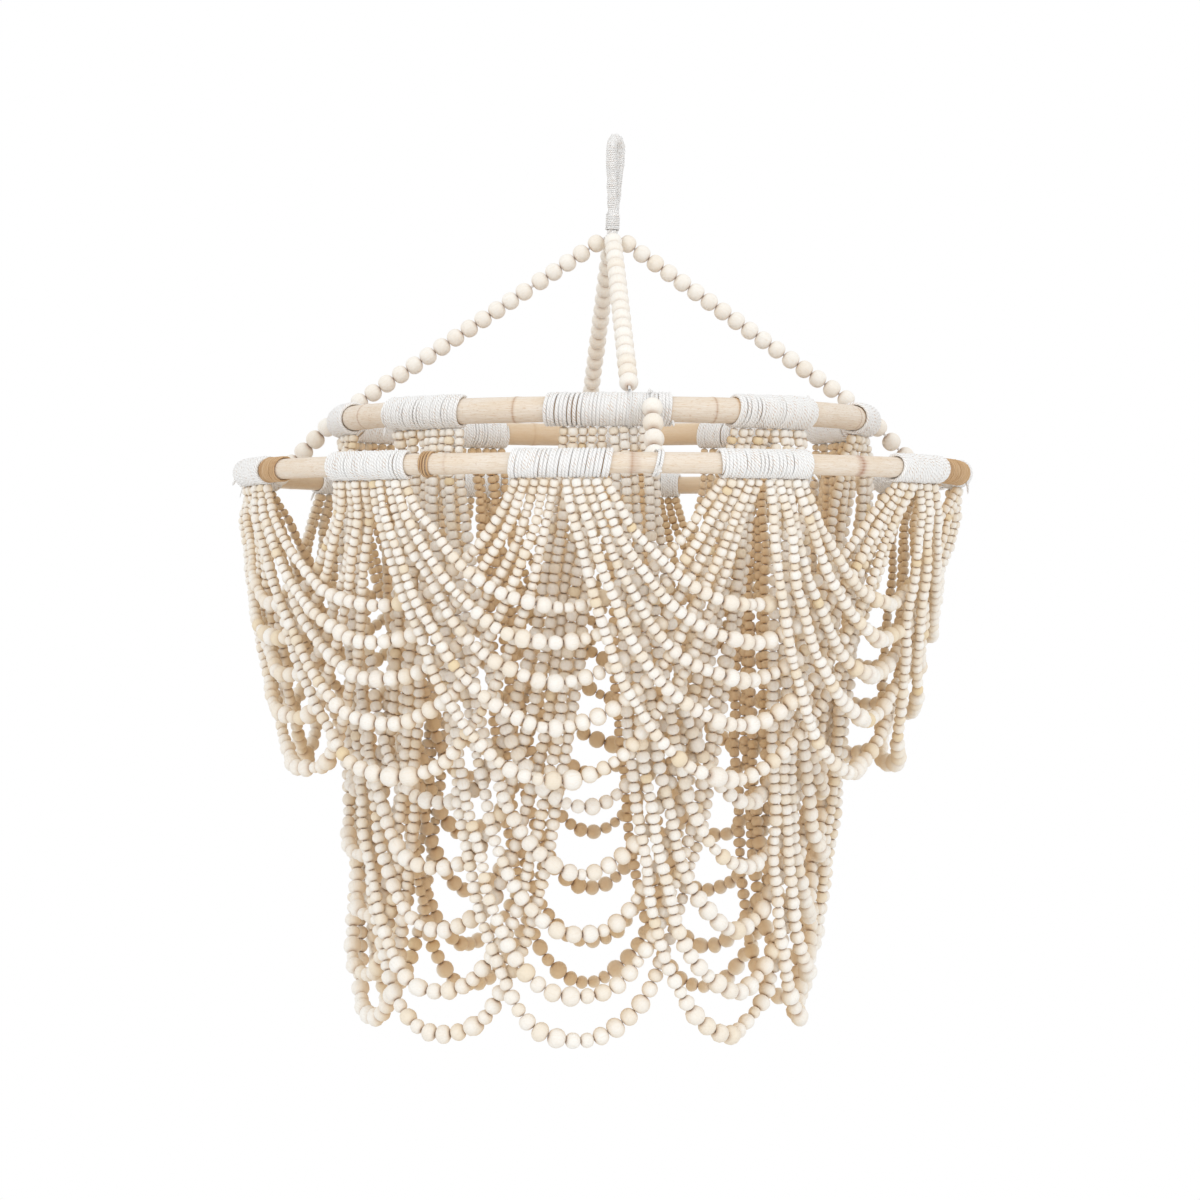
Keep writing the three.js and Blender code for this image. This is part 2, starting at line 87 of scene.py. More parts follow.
# Beads: diameters in the limbs and at the bottom of each nested string, and how far from the bottom the
# large ones reach. Beads from BIG_FROM in radius get the finer form.
SMALL_BEAD = 7.5
BIG_FROM = 4.9
OUTER_BEADS = {"limb": 9.3, "big": [12, 12.8, 13.2, 13.6, 14.2], "full_reach": 24, "end_reach": 95}
INNER_BEADS = {"limb": 10, "big": [12.4, 13, 13.4, 13.8, 14.2], "full_reach": 48, "end_reach": 125}
LIMB_GROWTH = [10, 140]
LENGTH_SHARES = {"small": 0.84, "big": 0.93}
WOOD_SHARE = 0.985
STRING_RADIUS = 0.6
STRING_LIFT = 1.2
HANGER_BEAD = {"radius": 7.4, "length": 13.7, "bare": 4}
DROP_BEAD = {"radius": 7.9, "length": 14.6, "bare": 7.8}
TAUT_STRING_RADIUS = 1.05
# Painted shade in tan: how much more the beads of a swag's inner layer get, and the share that round beads
# get on their inward side.
INNER_LAYER_SHADE = 0.2
ROUND_INWARD_SHARE = 0.35

# How far the strings of a swag lie in and out of line by turns, stray in and out, and stray sideways
STAGGER = 2.2
WANDER = 1.3
DRIFT = 1.7
FADE_DEPTH = 30

# How uneven the turns of a winding lie
UNEVEN = 0.17

rng = np.random.default_rng(SEED)


# Meshes
def add_object(name, data):
    made = bpy.data.objects.new(name, data)
    bpy.context.scene.collection.objects.link(made)
    return made


def mesh_piece(name, verts, quads, material, corners, points):
    """A smooth mesh object. corners and points hold attributes, a 3-vector for each corner or vertex."""
    mesh = bpy.data.meshes.new(name)
    quads = np.asarray(quads, np.int32)
    mesh.vertices.add(len(verts))
    mesh.vertices.foreach_set("co", (np.asarray(verts, np.float64) * MM).astype(np.float32).ravel())
    mesh.loops.add(quads.size)
    mesh.loops.foreach_set("vertex_index", quads.ravel())
    mesh.polygons.add(len(quads))
    mesh.polygons.foreach_set("loop_start", np.arange(0, quads.size, 4, dtype=np.int32))
    for domain, table in (("CORNER", corners), ("POINT", points)):
        for key, values in table.items():
            layer = mesh.attributes.new(key, "FLOAT_VECTOR", domain)
            layer.data.foreach_set("vector", np.asarray(values, np.float32).ravel())
    mesh.update(calc_edges=True)
    mesh.shade_smooth()
    mesh.materials.append(material)
    return add_object(name, mesh)


class Batch:
    """Vertices, quads and attributes of many small forms, gathered into one piece."""

    def __init__(self):
        self.verts, self.quads, self.corners, self.points = [], [], [], []
        self.count = 0

    def add(self, verts, quads, corners=None, points=None):
        self.verts.append(verts)
        self.quads.append(quads + self.count)
        self.count += len(verts)
        if corners is not None:
            self.corners.append(corners)
        if points is not None:
            self.points.append(points)

    def piece(self, name, material):
        """Makes the piece. Cords carry what tube says of their corners, and beads what add_beads says."""
        corners, points = {}, {}
        if self.corners:
            corners["fibre"] = np.concatenate(self.corners)
        if self.points:
            points["bead_place"], points["bead_kind"] = np.hsplit(np.concatenate(self.points), 2)
        verts, quads = np.concatenate(self.verts), np.concatenate(self.quads)
        return mesh_piece(name, verts, quads, material, corners, points)


def dress(piece, body, node):
    """Gives a piece its body and hides the CAD node that it replaces."""
    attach(piece, body)
    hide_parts(node)


def lengths_along(points):
    """How far along a path each of its points lies."""
    return np.concatenate([[0.0], np.cumsum(np.linalg.norm(np.diff(points, axis=0), axis=1))])


def at_lengths(wanted, along, path):
    """The points of a path at the wanted lengths along it."""
    return np.stack([np.interp(wanted, along, path[:, axis]) for axis in range(3)], 1)


def frames_along(points, closed=False, hint=(0, 0, 1)):
    """Unit vectors across a path, turned as little as can be from one point to the next."""
    points = np.asarray(points, float)
    if closed:
        along = np.roll(points, -1, 0) - np.roll(points, 1, 0)
    else:
        along = np.gradient(points, axis=0)
    along /= np.linalg.norm(along, axis=1, keepdims=True)
    last = np.array(hint, float)
    if abs(last @ along[0]) > 0.95:
        last = np.array((1.0, 0.0, 0.0))
    across = np.empty_like(points)
    for i, direction in enumerate(along):
        last = last - direction * (last @ direction)
        last /= np.linalg.norm(last)
        across[i] = last
    return across, np.cross(along, across)


def ring_quads(gaps, count, sides):
    """Quads in the gaps between rings, with the ring and the side that each one starts at."""
    i = np.repeat(np.arange(gaps), sides)
    j = np.tile(np.arange(sides), gaps)
    k = (j + 1) % sides
    after = (i + 1) % count
    return i, j, np.stack([i * sides + j, i * sides + k, after * sides + k, after * sides + j], 1)


def tube(points, radius, sides, seed=0.0, closed=False, taper=0, frames=None):
    """A round cord or rod along points, with as many rings as taper says narrowed at each end.

    Its corners carry how far along they are, what part of a turn round, and a seed.
    """
    points = np.asarray(points, float)
    n = len(points)
    radii = np.broadcast_to(np.asarray(radius, float), (n,)).copy()
    for i in range(taper):
        shrink = math.sqrt((i + 0.15) / (taper + 0.15))
        radii[i] *= shrink
        radii[n - 1 - i] *= shrink
    across, up = frames or frames_along(points, closed)
    angles = TURN * np.arange(sides) / sides
    ring = across[:, None] * np.cos(angles)[None, :, None] + up[:, None] * np.sin(angles)[None, :, None]
    verts = (points[:, None] + ring * radii[:, None, None]).reshape(-1, 3)
    after_last = points[:1] if closed else points[-1:]
    along = lengths_along(np.concatenate([points, after_last]))
    i, j, quads = ring_quads(n if closed else n - 1, n, sides)
    s0, s1 = along[i], along[i + 1]
    t0, t1 = j / sides, (j + 1) / sides
    seeds = np.full_like(s0, seed)
    corners = np.stack([np.stack([s, t, seeds], 1) for s, t in ((s0, t0), (s0, t1), (s1, t1), (s1, t0))], 1)
    return verts, quads, corners.reshape(-1, 3)


# Places on the hoops
def outward(azimuth):
    turn = np.radians(azimuth)
    return np.stack([np.sin(turn), -np.cos(turn), np.zeros_like(turn)], -1)


def tilted(points):
    points = np.array(points, float)
    points[..., 2] += HOOP_TILT_SHARE * points[..., 0]
    return points


def on_rod(hoop, azimuth, reach, facing):
    """A point at a distance from the middle of a hoop's rod, facing up (90 degrees), out (0) or in (180)."""
    azimuth, facing = np.broadcast_arrays(np.asarray(azimuth, float), np.radians(facing))
    away = outward(azimuth) * (hoop["radius"] + reach * np.cos(facing))[..., None]
    away[..., 2] = -hoop["drop"] + reach * np.sin(facing)
    return away


def arc_degrees(length, radius):
    return math.degrees(length / radius)


def wrap_bore(hoop):
    return hoop["rod"] + 2 * CLEARANCE


def wrap_outer(hoop):
    return wrap_bore(hoop) + WRAP["wall"]


def wrap_length(hoop, index):
    return WRAP["front_length"] if hoop is UPPER_HOOP and index == 0 else WRAP["length"]


def unwound(azimuth, other, side):
    """The same azimuth, a whole turn on or back if it isn't yet on that side of the other one."""
    if side > 0 and azimuth < other:
        return azimuth + FULL_CIRCLE
    if side < 0 and azimuth > other:
        return azimuth - FULL_CIRCLE
    return azimuth


def degrees_between(azimuths, azimuth):
    """The angle between azimuths, at most half a turn."""
    return abs((azimuths - azimuth + HALF_CIRCLE) % FULL_CIRCLE - HALF_CIRCLE)


def beside_strings(hoop, wrap_azimuth, place):
    """The azimuth past a number of strings on either side of a wrap's middle, or its middle for 0."""
    sign = (place > 0) - (place < 0)
    offset = sign * (STRAND["first_offset"] + (abs(place) - 0.5) * STRAND["pitch"])
    return wrap_azimuth + arc_degrees(offset, hoop["radius"])


def between_wraps(hoop, azimuths, index, share):
    """The azimuth at a share of the bare rod between a wrap and the next one."""
    half = arc_degrees(WRAP["length"] / 2, hoop["radius"])
    start = azimuths[index] + half
    end = unwound(azimuths[(index + 1) % len(azimuths)], azimuths[index], 1) - half
    return start + (end - start) * share


def is_on_wrap(hoop, azimuths, azimuth):
    return any(
        degrees_between(azimuth, wrap) < arc_degrees(wrap_length(hoop, i), hoop["radius"]) / 2
        for i, wrap in enumerate(azimuths)
    )


# Materials
def linear(red, green, blue):
    """Linear colour from 8-bit sRGB values."""
    values = (c / 255 for c in (red, green, blue))
    return (*(v / 12.92 if v <= 0.04045 else ((v + 0.055) / 1.055) ** 2.4 for v in values), 1.0)


class Tree:
    """Makes the nodes of a tree, sets or links their inputs and gives back an output."""

    def __init__(self, owner):
        owner.use_nodes = True
        self.nodes = owner.node_tree.nodes
        self.links = owner.node_tree.links

    def node(self, kind, output=0, settings=None, **inputs):
        """Makes a node. Its inputs are named with _ for a space, or numbered as in i0."""
        made = self.nodes.new(kind)
        for key, value in (settings or {}).items():
            setattr(made, key, value)
        for key, value in inputs.items():
            by_number = key[0] == "i" and key[1:].isdigit()
            self.connect(value, made.inputs[int(key[1:]) if by_number else key.replace("_", " ")])
        return made.outputs[output]

    def connect(self, value, socket):
        if isinstance(value, bpy.types.NodeSocket):
            self.links.new(value, socket)
        else:
            socket.default_value = value

    def math(self, operation, first, second=0.0):
        return self.node("ShaderNodeMath", settings={"operation": operation}, i0=first, i1=second)

    def parts(self, vector):
        made = self.nodes.new("ShaderNodeSeparateXYZ")
        self.links.new(vector, made.inputs[0])
        return made.outputs[0], made.outputs[1], made.outputs[2]

    def vector(self, x, y, z):
        return self.node("ShaderNodeCombineXYZ", i0=x, i1=y, i2=z)

    def attribute(self, name):
        return self.node("ShaderNodeAttribute", output="Vector", settings={"attribute_name": name})

    def noise(self, vector, scale, detail, roughness):
        return self.node("ShaderNodeTexNoise", Vector=vector, Scale=scale, Detail=detail, Roughness=roughness)

    def span(self, value, low, high, new_low=0.0, new_high=1.0):
        return self.node("ShaderNodeMapRange", i0=value, i1=low, i2=high, i3=new_low, i4=new_high)

    def ramp(self, value, stops):
        made = self.nodes.new("ShaderNodeValToRGB")
        elements = made.color_ramp.elements
        while len(elements) < len(stops):
            elements.new(0.5)
        for element, (place, colour) in zip(elements, stops):
            element.position = place
            element.color = colour
        self.links.new(value, made.inputs[0])
        return made.outputs[0]

    def around(self, turn):
        """A part of a turn as a place on a circle, which gives noise without a seam."""
        angle = self.math("MULTIPLY", turn, TURN)
        return self.math("COSINE", angle), self.math("SINE", angle)

    def scaled(self, values, factors):
        """A vector of three values, each times its own factor."""
        return self.vector(*(self.math("MULTIPLY", value, factor) for value, factor in zip(values, factors)))

    def mix(self, share, first, second):
        settings = {"data_type": "RGBA"}
        return self.node("ShaderNodeMix", output=2, settings=settings, i0=share, i6=first, i7=second)


class Shader(Tree):
    """The node tree of a material with a principled surface."""

    def __init__(self, name, roughness, **fixed):
        self.material = bpy.data.materials.new(name)
        super().__init__(self.material)
        self.bsdf = self.nodes["Principled BSDF"]
        self.bsdf.inputs["Roughness"].default_value = roughness
        for key, value in fixed.items():
            self.bsdf.inputs[key.replace("_", " ")].default_value = value

    def finish(self, colour, height, distance, strength, roughness=None):
        self.links.new(colour, self.bsdf.inputs["Base Color"])
        bump = self.node("ShaderNodeBump", Strength=strength, Distance=distance, Height=height)
        self.links.new(bump, self.bsdf.inputs["Normal"])
        if roughness is not None:
            self.links.new(roughness, self.bsdf.inputs["Roughness"])
        return self.material


def bead_material():
    """Turned, unfinished pale wood: each bead has its own tone and grain, fine pores, browner ends (end
    grain, and painted shade where beads touch) and painted shade in tan on its inward side.
    """
    s = Shader("bead_wood", 0.7)
    place = s.attribute("bead_place")
    seed, end, inward_shade = s.parts(s.attribute("bead_kind"))
    tone = s.ramp(
        seed,
        [
            (0.0, linear(236, 216, 178)),
            (0.015, linear(239, 225, 201)),
            (0.07, linear(243, 234, 219)),
            (0.35, linear(246, 241, 233)),
            (1.0, linear(249, 247, 242)),
        ],
    )
    x, y, z = s.parts(place)
    shift = s.math("MULTIPLY", seed, 911.0)
    along = s.vector(s.math("ADD", x, shift), y, s.math("MULTIPLY", z, 0.16))
    grain = s.noise(along, 0.9, 3.0, 0.6)
    fine = s.noise(along, 3.6, 3.0, 0.65)
    tone = s.mix(s.span(grain, 0.46, 0.74, 0.0, 0.26), tone, linear(228, 208, 176))
    tone = s.mix(s.span(fine, 0.47, 0.75, 0.0, 0.14), tone, linear(205, 172, 126))
    # Painted shade in tan on the side and back of a bead that face the axis, and on beads of a swag's inner
    # layer.
    tone = s.mix(s.span(inward_shade, 0.22, 0.7, 0.0, 0.6), tone, linear(230, 206, 168))
    tone = s.mix(s.span(inward_shade, 0.6, 1.0, 0.0, 0.7), tone, linear(212, 176, 126))
    # Browner towards the hole ends: partly end grain, partly painted shade in the crevices between touching
    # beads.
    rim = s.math("POWER", end, 9.0)
    tone = s.mix(s.math("MULTIPLY", rim, 0.6), tone, linear(164, 112, 56))
    height = s.math("ADD", s.math("MULTIPLY", grain, 0.6), s.math("MULTIPLY", fine, 0.4))
    rough = s.span(fine, 0.3, 0.7, 0.6, 0.82)
    return s.finish(tone, height, 0.00022, 0.8, rough)


def cotton_material(name, lay, plies, shade=1.0, groove_shade=0.85):
    """Twisted cotton cord: plies with soft fibres over them, painted shade in the grooves between them and
    rusty stains there.
    """
    s = Shader(name, 0.92, Sheen_Weight=0.25, Sheen_Roughness=0.6)
    along, turn, seed = s.parts(s.attribute("fibre"))
    phase = s.math("ADD", s.math("DIVIDE", along, lay), s.math("MULTIPLY", turn, float(plies)))
    bulge = s.math("ABSOLUTE", s.math("SINE", s.math("MULTIPLY", phase, math.pi)))
    shift = s.math("ADD", s.math("MULTIPLY", along, 0.9), s.math("MULTIPLY", seed, 57.0))
    fibre_place = s.scaled((*s.around(turn), shift), (2.2, 2.2, 1.0))
    fuzz = s.noise(fibre_place, 2.4, 4.0, 0.7)
    broad = s.noise(fibre_place, 0.12, 2.0, 0.5)
    light = linear(*(round(c * shade) for c in (254, 254, 254)))
    dark = linear(*(round(c * shade) for c in (230, 227, 223)))
    # Painted shade in the grooves between the plies.
    colour = s.mix(s.span(bulge, 0.0, 0.55, groove_shade, 0.0), light, dark)
    colour = s.mix(s.span(fuzz, 0.4, 0.75, 0.0, 0.3), colour, dark)
    colour = s.mix(s.span(broad, 0.4, 0.7, 0.0, 0.15), colour, linear(240, 236, 228))
    rust = s.math("MULTIPLY", s.span(broad, 0.54, 0.62, 0.0, 0.75), s.span(bulge, 0.1, 0.5, 1.0, 0.0))
    colour = s.mix(rust, colour, linear(206, 164, 124))
    plies_height = s.math("MULTIPLY", s.math("POWER", bulge, 0.6), 0.75)
    height = s.math("ADD", plies_height, s.math("MULTIPLY", fuzz, 0.3))
    return s.finish(colour, height, 0.0006, 0.9)


def cane_material():
    """Peeled round cane: long pale fibres, darker joints, small specks and weathered streaks, with painted
    shade in warm tan on the side facing the axis and in brown between wrap turns.
    """
    s = Shader("cane", 0.5)
    along, turn, _ = s.parts(s.attribute("fibre"))
    around = s.around(turn)
    place = (*around, along)
    long_place = s.scaled(place, (9.0, 9.0, 0.03))
    fibres = s.noise(long_place, 1.6, 5.0, 0.65)
    hair = s.noise(long_place, 5.5, 3.0, 0.6)
    patches = s.noise(s.scaled(place, (1.0, 1.0, 0.02)), 0.9, 3.0, 0.55)
    specks = s.noise(s.scaled(place, (9.0, 9.0, 0.55)), 0.7, 2.0, 0.5)
    joint, stain, under_wrap_shade = s.parts(s.attribute("cane_marks"))
    colour = s.ramp(
        fibres,
        [
            (0.25, linear(216, 198, 174)),
            (0.42, linear(230, 217, 200)),
            (0.6, linear(238, 228, 216)),
            (0.8, linear(243, 236, 228)),
        ],
    )
    colour = s.mix(s.span(patches, 0.45, 0.72, 0.0, 0.4), colour, linear(226, 200, 166))
    colour = s.mix(s.span(hair, 0.52, 0.7, 0.0, 0.5), colour, linear(200, 166, 126))
    colour = s.mix(s.span(specks, 0.68, 0.74, 0.0, 0.35), colour, linear(172, 128, 84))
    scuffs = s.noise(s.scaled(place, (7.0, 7.0, 0.16)), 1.3, 4.0, 0.65)
    colour = s.mix(s.span(scuffs, 0.55, 0.66, 0.0, 0.5), colour, linear(208, 174, 134))
    ring = s.math("MULTIPLY", s.math("POWER", joint, 4.0), s.span(fibres, 0.35, 0.6, 0.9, 0.45))
    colour = s.mix(ring, colour, linear(172, 124, 78))
    # Painted shade in warm tan on the side of the rod that faces the axis.
    colour = s.mix(s.span(around[0], 0.3, -0.8, 0.0, 0.6), colour, linear(222, 190, 146))
    stained = s.math("MULTIPLY", stain, s.span(fibres, 0.3, 0.65, 1.0, 0.45))
    colour = s.mix(stained, colour, linear(158, 98, 62))
    # Painted shade: cane under the wraps is a darker brown, which shows in the gaps between cord turns.
    colour = s.mix(s.math("MULTIPLY", under_wrap_shade, 0.7), colour, linear(220, 172, 104))
    height = s.math("ADD", s.math("MULTIPLY", fibres, 0.5), s.math("MULTIPLY", hair, 0.4))
    return s.finish(colour, height, 0.0003, 0.7, s.span(fibres, 0.3, 0.7, 0.42, 0.62))


def binding_material():
    """Split cane strip, a darker honey tan, with painted shade in dark lines down the two sides of each turn.
    """
    s = Shader("cane_strip", 0.55)
    along, turn, seed = s.parts(s.attribute("fibre"))
    streak = s.noise(s.scaled((along, turn, seed), (0.06, 6.0, 31.0)), 1.4, 4.0, 0.6)
    stops = [(0.3, linear(170, 128, 84)), (0.5, linear(204, 168, 124)), (0.75, linear(228, 204, 170))]
    colour = s.ramp(streak, stops)
    edge = s.math("ABSOLUTE", s.math("SINE", s.math("MULTIPLY", turn, TURN)))
    # Painted shade along the two sides of each turn, where it meets the next.
    colour = s.mix(s.span(edge, 0.0, 0.6, 0.5, 0.0), colour, linear(132, 88, 52))
    return s.finish(colour, streak, 0.0002, 0.6)


BEAD = bead_material()
CORD = cotton_material("cotton_cord", 2.6, 3)
FINE_CORD = cotton_material("cotton_twine", 1.9, 2)
# The loop cord gets less painted shade in its grooves.
LOOP_CORD = cotton_material("cotton_loop", 1.7, 2, 1.0, 0.45)
THREAD = cotton_material("cotton_thread", 1.5, 2, 0.97)
CANE = cane_material()
STRIP = binding_material()


# Beads
def bead_template(sides, rings):
    """A turned bead with a hole, of unit radius and half length. rings are (radius, height)."""
    angles = TURN * np.arange(sides) / sides
    radii = np.array([r for r, _ in rings])
    heights = np.array([h for _, h in rings])
    verts = np.stack(
        [
            (radii[:, None] * np.cos(angles)).ravel(),
            (radii[:, None] * np.sin(angles)).ravel(),
            np.repeat(heights, sides),
        ],
        1,
    )
    return verts, ring_quads(len(rings), len(rings), sides)[2]


def mirrored(lower, middle=()):
    return [*lower, *middle, *((radius, -height) for radius, height in reversed(lower))]


SMALL_RINGS = mirrored([(0.17, -0.92), (0.42, -0.985), (0.78, -0.8), (0.96, -0.44)], [(1.0, 0.0)])
BIG_RINGS = mirrored([(0.12, -0.9), (0.26, -0.99), (0.55, -0.88), (0.82, -0.62), (0.985, -0.22)])
SMALL_TEMPLATE = bead_template(8, SMALL_RINGS)
BIG_TEMPLATE = bead_template(12, BIG_RINGS)


def inward_share(verts, centres):
    """How far each vertex of a bead faces the axis of the shade, from 0 outside to 1 inside."""
    away = verts - centres
    away = away / np.linalg.norm(away, axis=-1, keepdims=True)
    radial = centres * np.array([1.0, 1.0, 0.0])
    radial = radial / np.maximum(np.linalg.norm(radial, axis=-1, keepdims=True), 1e-6)
    return 0.5 - 0.5 * (away * radial).sum(-1)


def add_beads(batch, centres, axes, radii, lengths, shaded):
    """Places beads by their middles and axes. Each gets a random turn, a slight tilt and a seed for its tone.

    Their points carry the place in the bead, its seed, how near its end they are, and how they face inwards
    with more for inner-layer beads, which sets painted shade.
    """
    count = len(centres)
    centres = np.asarray(centres)
    axes = np.asarray(axes, float) + rng.normal(0, 0.045, (count, 3))
    axes /= np.linalg.norm(axes, axis=1, keepdims=True)
    helper = np.where(np.abs(axes[:, 2:3]) < 0.9, np.array([[0.0, 0.0, 1.0]]), np.array([[1.0, 0.0, 0.0]]))
    x = np.cross(helper, axes)
    x /= np.linalg.norm(x, axis=1, keepdims=True)
    y = np.cross(axes, x)
    seeds = rng.random(count)
    radii = np.asarray(radii, float)
    lengths = np.asarray(lengths, float)
    for template, chosen in ((SMALL_TEMPLATE, radii < BIG_FROM), (BIG_TEMPLATE, radii >= BIG_FROM)):
        picked = np.flatnonzero(chosen)
        if not len(picked):
            continue
        unit, quads = template
        spin = rng.random(len(picked)) * TURN
        oval = 1 + rng.normal(0, 0.025, len(picked))
        flat_x = unit[None, :, 0] * np.cos(spin)[:, None] - unit[None, :, 1] * np.sin(spin)[:, None]
        flat_y = unit[None, :, 0] * np.sin(spin)[:, None] + unit[None, :, 1] * np.cos(spin)[:, None]
        local = np.stack(
            [
                flat_x * (radii[picked] * oval)[:, None],
                flat_y * (radii[picked] / oval)[:, None],
                unit[None, :, 2] * (lengths[picked] / 2)[:, None],
            ],
            -1,
        )
        middle = centres[picked][:, None]
        world = (
            middle
            + local[..., 0:1] * x[picked][:, None]
            + local[..., 1:2] * y[picked][:, None]
            + local[..., 2:3] * axes[picked][:, None]
        )
        kind = np.empty_like(local)
        kind[..., 0] = seeds[picked][:, None]
        kind[..., 1] = np.abs(unit[None, :, 2])
        # Painted shade: the inward-facing side, plus more on beads of the inner layer.
        kind[..., 2] = inward_share(world, middle) + INNER_LAYER_SHADE * shaded[picked][:, None]
        offsets = (np.arange(len(picked)) * len(unit))[:, None, None]
        batch.add(
            world.reshape(-1, 3),
            (quads[None] + offsets).reshape(-1, 4),
            points=np.concatenate([local, kind], -1).reshape(-1, 6),
        )


# Swags
def catenary_scale(half_span, fall):
    """The scale of the catenary with this fall over half its span, found by halving."""
    low, high = half_span / 20, half_span * 20
    for _ in range(60):
        middle = (low + high) / 2
        if middle * (math.cosh(half_span / middle) - 1) > fall:
            low = middle
        else:
            high = middle
    return low


def pass_path(hoop, tier, left, right, bottom, index):
    """The middle line of one string of a swag, from its left wrap to its right one, evenly stepped."""
    middle, half_angle = (left + right) / 2, math.radians((right - left) / 2)
    half_span = hoop["radius"] * math.sin(half_angle)
    chord = hoop["radius"] * math.cos(half_angle)
    top = hoop["drop"] + wrap_outer(hoop) + tier["top_gap"]
    fall = bottom + hoop["drop"] - top
    scale = catenary_scale(half_span, fall)
    length = scale * math.sinh(half_span / scale)
    along = np.linspace(-length, length, 240)
    offset = scale * np.arcsinh(along / scale)
    depth = fall - scale * (np.cosh(offset / scale) - 1)
    azimuth = middle + np.degrees(np.arctan2(offset, chord))
    side = np.clip(-offset / STRAND["cross_reach"], -1, 1)
    ramp = np.minimum(1, depth / STRAND["ramp_depth"])
    away = hoop["radius"] - tier["taper"] * depth / tier["bottoms"][-1] + side * ramp * STRAND["layer_offset"]
    fade = np.minimum(1, depth / FADE_DEPTH)
    waves = rng.uniform(0, TURN, 4)
    sway = np.sin(along / 17 + waves[0]) * 0.6 + np.sin(along / 9.5 + waves[1]) * 0.4
    bob = np.sin(along / 14 + waves[2]) * 0.6 + np.sin(along / 8 + waves[3]) * 0.4
    aside = np.sin(along / 26 + waves[1]) * 0.65 + np.sin(along / 12 + waves[3]) * 0.35
    away = away + (STAGGER if index % 2 else -STAGGER) * (0.5 + 0.5 * fade) + WANDER * sway * fade
    azimuth = azimuth + np.degrees(DRIFT * aside * fade / hoop["radius"])
    points = outward(azimuth) * away[:, None]
    points[:, 0] += DRIFT_SHARE * depth
    points[:, 2] = -top - depth + WANDER * bob * fade
    ends = np.vstack([points[:1], points, points[-1:]])
    ends[[0, -1], 2] += tier["top_gap"]
    return tilted(ends)


def swag_beads(batch, path, big, sizes):
    """Beads threaded along one string, small under the wraps and graded up to the bottom."""
    along = lengths_along(path)
    total = along[-1]
    centres, radii, lengths = [], [], []
    here = 0.0
    while True:
        from_bottom = abs(here + SMALL_BEAD / 2 - total / 2)
        growth = np.clip((total / 2 - from_bottom - LIMB_GROWTH[0]) / (LIMB_GROWTH[1] - LIMB_GROWTH[0]), 0, 1)
        limb = SMALL_BEAD + (sizes["limb"] - SMALL_BEAD) * growth
        share = np.clip((sizes["end_reach"] - from_bottom) / (sizes["end_reach"] - sizes["full_reach"]), 0, 1)
        share = share**1.3
        spread = 0.06 + 0.05 * share
        diameter = (limb + (big - limb) * share) * float(np.clip(1 + rng.normal(0, spread), 0.8, 1.14))
        if share > 0.5 and rng.random() < 0.12:
            diameter *= 0.78
        if share < 0.2 and rng.random() < 0.1:
            diameter *= 0.84
        ratio = LENGTH_SHARES["small"] + (LENGTH_SHARES["big"] - LENGTH_SHARES["small"]) * share
        length = diameter * ratio * float(np.clip(1 + rng.normal(0, 0.07), 0.82, 1.2))
        if here + length > total:
            break
        centres.append(here + length / 2)
        radii.append(diameter / 2)
        lengths.append(length * WOOD_SHARE)
        here += length + abs(rng.normal(0, 0.12))
    centres = np.array(centres) * total / here
    reach = 2.5
    places, ahead, behind = (at_lengths(centres + shift, along, path) for shift in (0, reach, -reach))
    # Beads on the inner layer of the crossing get extra painted shade.
    inner_layer = np.clip((centres - total / 2) / STRAND["cross_reach"], 0, 1)
    add_beads(batch, places, ahead - behind, radii, lengths, inner_layer)
    return len(centres)


def swag_group(hoop, tier, wraps, index, sizes):
    """The nested strings between the wraps on either side of one wrap. Gives back their count of beads."""
    count = len(wraps)
    left = unwound(wraps[(index - 1) % count], wraps[index], -1)
    right = unwound(wraps[(index + 1) % count], wraps[index], 1)
    outermost = len(tier["bottoms"]) - 1
    beads, strings = Batch(), Batch()
    threaded = 0
    for i, bottom in enumerate(tier["bottoms"]):
        offset = arc_degrees(STRAND["first_offset"] + (outermost - i) * STRAND["pitch"], hoop["radius"])
        path = pass_path(hoop, tier, left + offset, right - offset, bottom, i)
        threaded += swag_beads(beads, path, sizes["big"][i], sizes)
        lift = np.array([0.0, 0.0, tier["top_gap"] + STRING_LIFT])
        thread = np.concatenate([[path[0] + lift], path[::4], [path[-1], path[-1] + lift]])
        strings.add(*tube(thread, STRING_RADIUS, 4, seed=rng.random()))
    name = f"{tier['name']}_{index + 1:02d}"
    dress(beads.piece(name + "_beads", BEAD), name, name)
    dress(strings.piece(name + "_strings", THREAD), name, name)
    return threaded


def swag_tier(hoop, tier, wraps, sizes):
    return sum(swag_group(hoop, tier, wraps, i, sizes) for i in range(len(wraps)))


